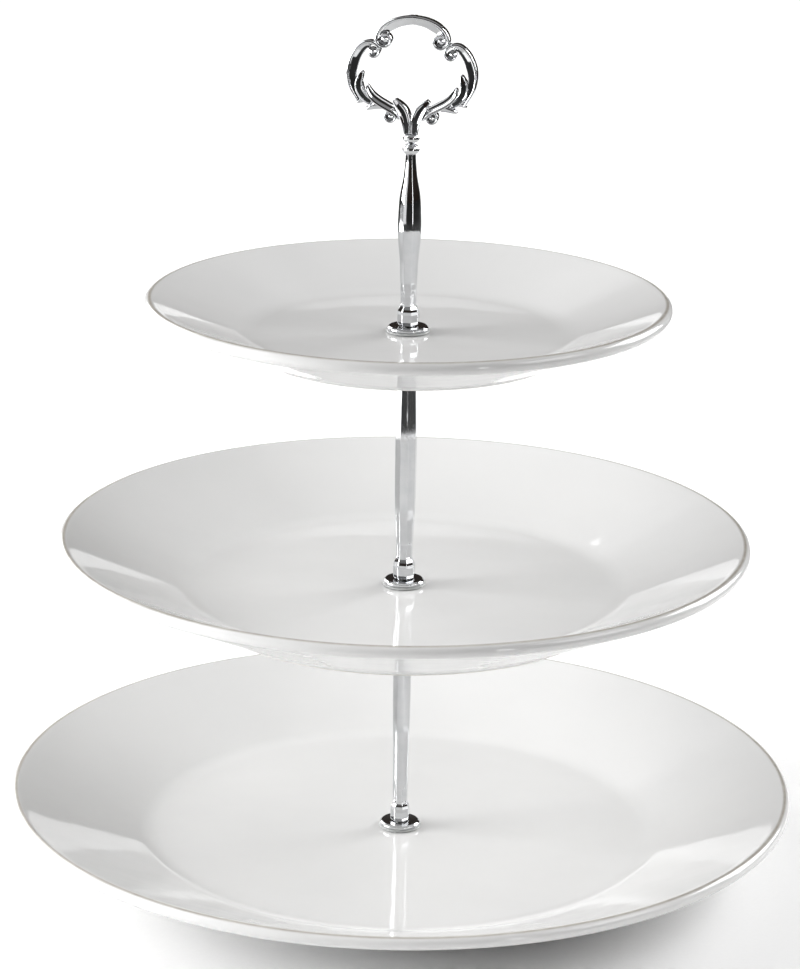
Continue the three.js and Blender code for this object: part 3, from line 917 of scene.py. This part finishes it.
def area_light(name, place, target, size, power):
    data = bpy.data.lights.new(name, "AREA")
    data.shape = "RECTANGLE"
    data.size, data.size_y = size
    data.energy = power
    light = bpy.data.objects.new(name, data)
    bpy.context.scene.collection.objects.link(light)
    aim = Vector(target) - Vector(place)
    light.matrix_world = Matrix.Translation(place) @ aim.to_track_quat("-Z", "Y").to_matrix().to_4x4()


def make_world():
    """A dim room, darkest from the horizon down and lightest overhead."""
    world = bpy.data.worlds.new("room")
    bpy.context.scene.world = world
    world.use_nodes = True
    nodes, links = world.node_tree.nodes, world.node_tree.links
    coordinates = nodes.new("ShaderNodeTexCoord")
    split = nodes.new("ShaderNodeSeparateXYZ")
    links.new(coordinates.outputs["Generated"], split.inputs["Vector"])
    ramp = ramp_node(nodes, links, split.outputs["Z"], [
        (0.0, (0.030, 0.022, 0.018)), (0.38, (0.05, 0.042, 0.038)),
        (0.65, (0.3, 0.3, 0.3)), (1.0, (0.5, 0.5, 0.5)),
    ])
    links.new(ramp, nodes["Background"].inputs["Color"])
    nodes["Background"].inputs["Strength"].default_value = ROOM_STRENGTH


def make_studio():
    paper = paper_material("white_paper", 0.95)
    make_sweep(paper)
    make_floor(paper_material("floor_paint", 0.05), paper)
    make_world()
    for name, place, target, size, power in LIGHTS:
        area_light(name, place, target, size, power)
    scene = bpy.context.scene
    scene.view_settings.view_transform = "Standard"
    scene.view_settings.look = "None"


def make_camera():
    angles = (CAMERA_PITCH, CAMERA_YAW, CAMERA_ROLL, CAMERA_AZIMUTH)
    pitch, yaw, roll, azimuth = (math.radians(a) for a in angles)
    forward = Vector((math.sin(yaw) * math.cos(pitch), math.cos(yaw) * math.cos(pitch), -math.sin(pitch)))
    level = Vector((math.cos(yaw), -math.sin(yaw), 0))
    rise = level.cross(forward)
    right = math.cos(roll) * level + math.sin(roll) * rise
    up = -math.sin(roll) * level + math.cos(roll) * rise
    turn = Matrix((right, up, -forward)).transposed().to_4x4()
    data = bpy.data.cameras.new("camera")
    data.lens = CAMERA_LENS
    data.sensor_width = SENSOR_SIZE
    data.sensor_height = SENSOR_SIZE
    data.clip_start, data.clip_end = CAMERA_CLIP
    camera = bpy.data.objects.new("camera", data)
    bpy.context.scene.collection.objects.link(camera)
    place = Matrix.Translation((0, -CAMERA_DISTANCE, CAMERA_HEIGHT)) @ turn
    camera.matrix_world = Matrix.Rotation(azimuth, 4, "Z") @ place
    bpy.context.scene.camera = camera


# ---- The stand ----

make_camera()
make_studio()
glaze, bisque = porcelain_material(), bisque_material()
chrome = chrome_material()
cast_chrome = chrome_material("chrome_cast", 160, 0.00005)
steel, milky = steel_material(), gasket_material()

make_plate("bottom", "base", [glaze, bisque])
make_plate("middle", "lower_column", [glaze, bisque])
make_plate("top", "middle_column", [glaze, bisque])

make_ring("base_washer_turned", "base_washer", "base", steel, washer_shape)
make_ring("base_gasket_soft", "base_gasket", "base", milky, gasket_shape,
          GASKET_ROUNDING)
for tier, body in (("bottom", "base"), ("middle", "lower_column"), ("top", "middle_column")):
    make_ring(f"{tier}_gasket_soft", f"{tier}_gasket", body, milky, gasket_shape,
          GASKET_ROUNDING)
    disc = f"{tier}_disc"
    make_ring(f"{disc}_plated", disc, disc, chrome, disc_shape, DISC_ROUNDING)
for tier, body in (("middle", "lower_column"), ("top", "middle_column")):
    washer, gasket = f"{tier}_support_washer", f"{tier}_support_gasket"
    make_ring(f"{washer}_turned", washer, body, steel, washer_shape)
    make_ring(f"{gasket}_soft", gasket, body, milky, gasket_shape,
          GASKET_ROUNDING)

make_base_screw(steel)
make_stud("middle_stud_threaded", "middle_stud", "middle_column", steel)
make_stud("handle_stud_threaded", "handle_stud", "handle", steel)
make_rod("lower_rod_faceted", "lower_rod", "lower_column", LOWER_ROD, LOWER_ROD_SOCKET, BULGE,
         LOWER_ROD_POCKETS, chrome)
make_rod("middle_rod_faceted", "middle_rod", "middle_column", MIDDLE_ROD, MIDDLE_ROD_SOCKET, -SCOOP,
         MIDDLE_ROD_POCKETS, chrome)
make_handle(cast_chrome)
